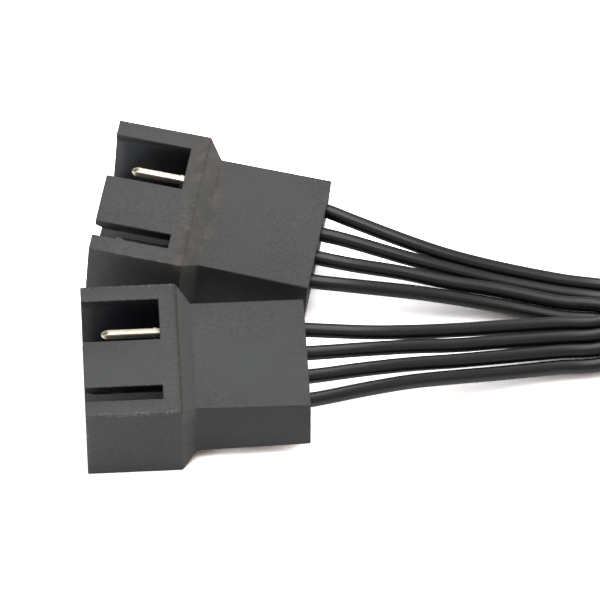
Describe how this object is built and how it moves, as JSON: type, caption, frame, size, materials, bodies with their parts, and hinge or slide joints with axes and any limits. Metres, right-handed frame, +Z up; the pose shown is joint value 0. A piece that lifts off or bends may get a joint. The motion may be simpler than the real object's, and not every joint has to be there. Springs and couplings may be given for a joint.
{
  "type": "fan splitter cable",
  "caption": "Short splitter lead for a computer fan header: one female plug whose separate black wires divide between male keyed headers.",
  "frame": {"origin": "middle of the two male housings' bounding box, on the surface they lie on", "axes": "+X from the housings' mouths towards their wires, +Z up off the surface, +Y across, towards the housing that leans back"},
  "size_m": [0.1035, 0.036, 0.0096],
  "materials": {
    "black_nylon": "fine matte",
    "gold_plate": "pale gold plate",
    "black_pvc": "semi-gloss",
    "tie_nylon": "satin"
  },
  "bodies": {
    "root": {"near_male_housing": "black_nylon", "far_male_housing": "black_nylon", "plug_housing": "black_nylon", "near_male_terminal_1": "gold_plate", "near_male_terminal_2": "gold_plate", "near_male_terminal_3": "gold_plate", "near_male_terminal_4": "gold_plate", "far_male_terminal_1": "gold_plate", "far_male_terminal_2": "gold_plate", "far_male_terminal_3": "gold_plate", "far_male_terminal_4": "gold_plate", "plug_contact_1": "gold_plate", "plug_contact_2": "gold_plate", "plug_contact_3": "gold_plate", "plug_contact_4": "gold_plate", "near_wire_1": "black_pvc", "near_wire_2": "black_pvc", "near_wire_3": "black_pvc", "near_wire_4": "black_pvc", "far_wire_1": "black_pvc", "far_wire_2": "black_pvc", "far_wire_3": "black_pvc", "far_wire_4": "black_pvc", "near_tail_1": "black_pvc", "near_tail_2": "black_pvc", "near_tail_3": "black_pvc", "near_tail_4": "black_pvc", "far_tail_1": "black_pvc", "far_tail_2": "black_pvc", "far_tail_3": "black_pvc", "far_tail_4": "black_pvc", "wire_hank": "black_pvc", "hank_tie": "tie_nylon"}
  },
  "joints": []
}
